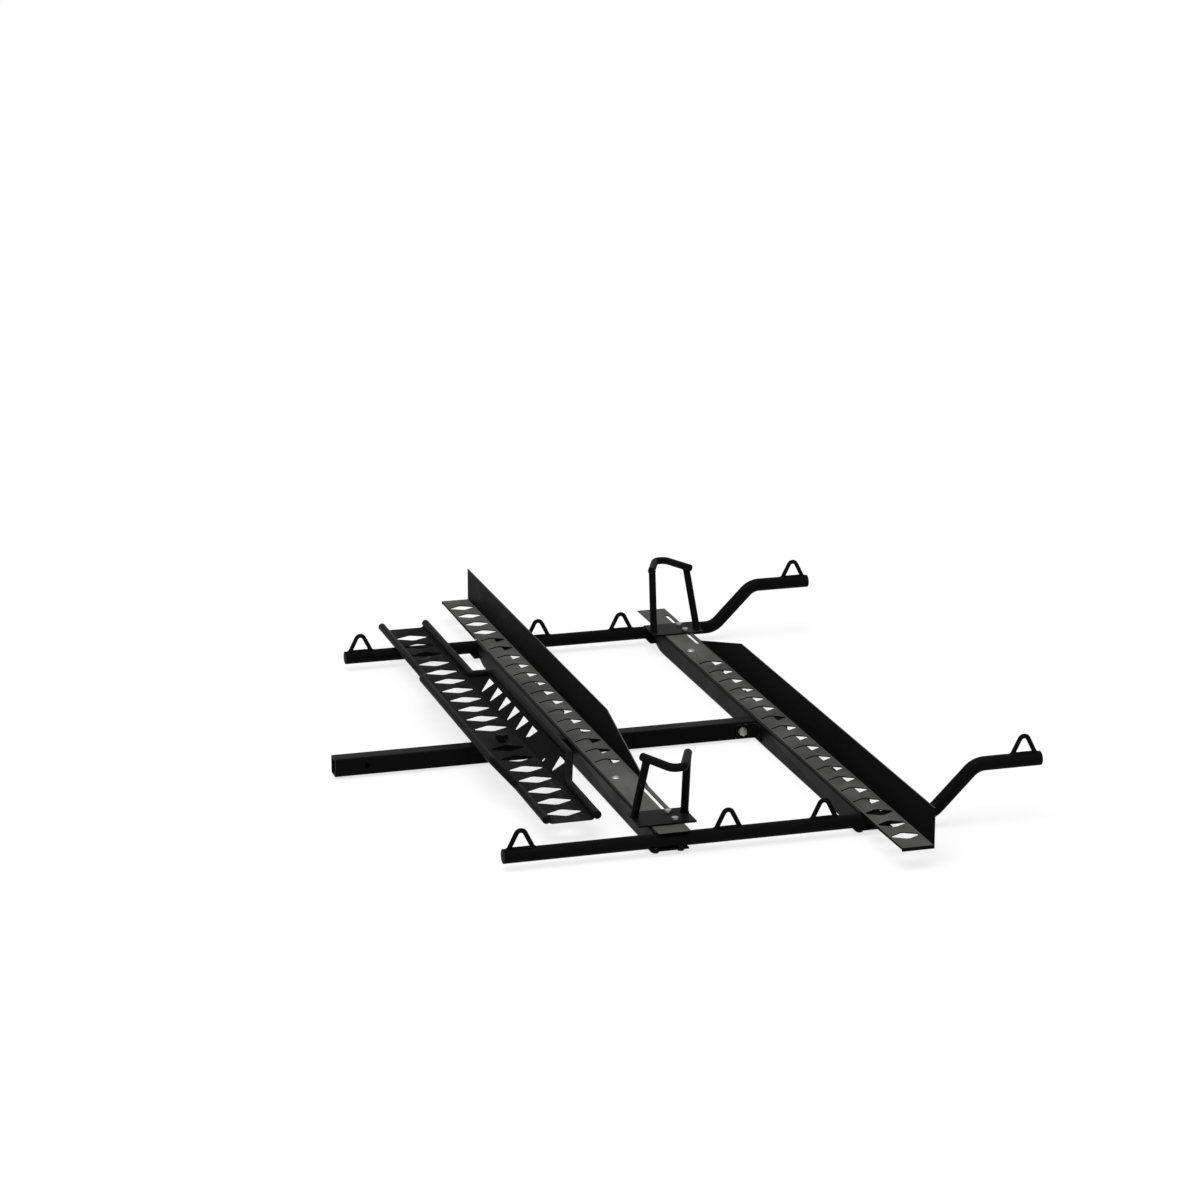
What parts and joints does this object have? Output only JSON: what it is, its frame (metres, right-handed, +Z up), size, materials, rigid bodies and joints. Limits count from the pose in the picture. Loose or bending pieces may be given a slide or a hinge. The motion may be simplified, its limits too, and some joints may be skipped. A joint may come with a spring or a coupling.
{
  "type": "hitch_motorcycle_carrier",
  "caption": "Black steel hitch carrier with two slotted wheel tracks on round cross bars, wheel chocks, tie-down loops and a loading ramp stowed across the beam",
  "frame": {"origin": "Centre of the hitch pin hole, on the axis of the square hitch beam.", "axes": "+X runs along the hitch beam to the rear, away from the towing end. +Y runs along the wheel tracks to their far end in the picture and along the hitch pin. +Z is up, the carrier's shortest extent."},
  "size_m": [1.7087, 2.521, 0.2561],
  "materials": {
    "powder_coat": "satin black powder coat on steel tube and plate",
    "tread_coat": "satin black powder coat on folded steel sheet",
    "plug_plastic": "matte black moulded plastic",
    "zinc_plate": "dull zinc plated steel"
  },
  "bodies": {
    "carrier": {"hitch_beam": "powder_coat", "beam_rear_plug": "plug_plastic", "front_rail": "powder_coat", "rear_rail": "powder_coat", "front_tread": "tread_coat", "rear_tread": "tread_coat", "tread_bolts": "zinc_plate", "tread_nuts": "zinc_plate", "near_bar": "powder_coat", "far_bar": "powder_coat", "near_bar_plugs": "plug_plastic", "far_bar_plugs": "plug_plastic", "near_loops": "powder_coat", "far_loops": "powder_coat", "foot_plates": "powder_coat", "foot_bolts": "zinc_plate", "foot_washers": "zinc_plate", "foot_inserts": "zinc_plate", "rear_cleat": "powder_coat", "cleat_bolt": "zinc_plate", "cleat_washers": "zinc_plate", "cleat_nut": "zinc_plate", "ramp_bush": "zinc_plate"},
    "ramp": {"ramp_floor": "tread_coat", "ramp_left_wing": "tread_coat", "ramp_right_wing": "tread_coat", "ramp_left_tube": "powder_coat", "ramp_right_tube": "powder_coat", "ramp_tube_plugs": "plug_plastic"},
    "knob": {"ramp_knob": "plug_plastic", "ramp_knob_stud": "zinc_plate"},
    "front_chock": {"front_chock_base": "powder_coat", "front_chock_legs": "powder_coat", "front_chock_guide": "powder_coat", "front_chock_plugs": "plug_plastic", "front_chock_bolts": "zinc_plate", "front_chock_nuts": "zinc_plate"},
    "rear_chock": {"rear_chock_base": "powder_coat", "rear_chock_legs": "powder_coat", "rear_chock_guide": "powder_coat", "rear_chock_plugs": "plug_plastic", "rear_chock_bolts": "zinc_plate", "rear_chock_nuts": "zinc_plate"}
  },
  "joints": [
    {"name": "ramp_lift", "type": "slide", "parent": "carrier", "child": "ramp", "axis": [0, 0, 1], "range_m": [0, 0.3]},
    {"name": "knob_turn", "type": "hinge", "parent": "ramp", "child": "knob", "pos_m": [0.3835, 0, 0.0332], "axis": [0, 0, 1], "continuous": true},
    {"name": "front_chock_slide", "type": "slide", "parent": "carrier", "child": "front_chock", "axis": [0, 1, 0], "range_m": [0, 0.19]},
    {"name": "rear_chock_slide", "type": "slide", "parent": "carrier", "child": "rear_chock", "axis": [0, -1, 0], "range_m": [0, 0.075]}
  ]
}
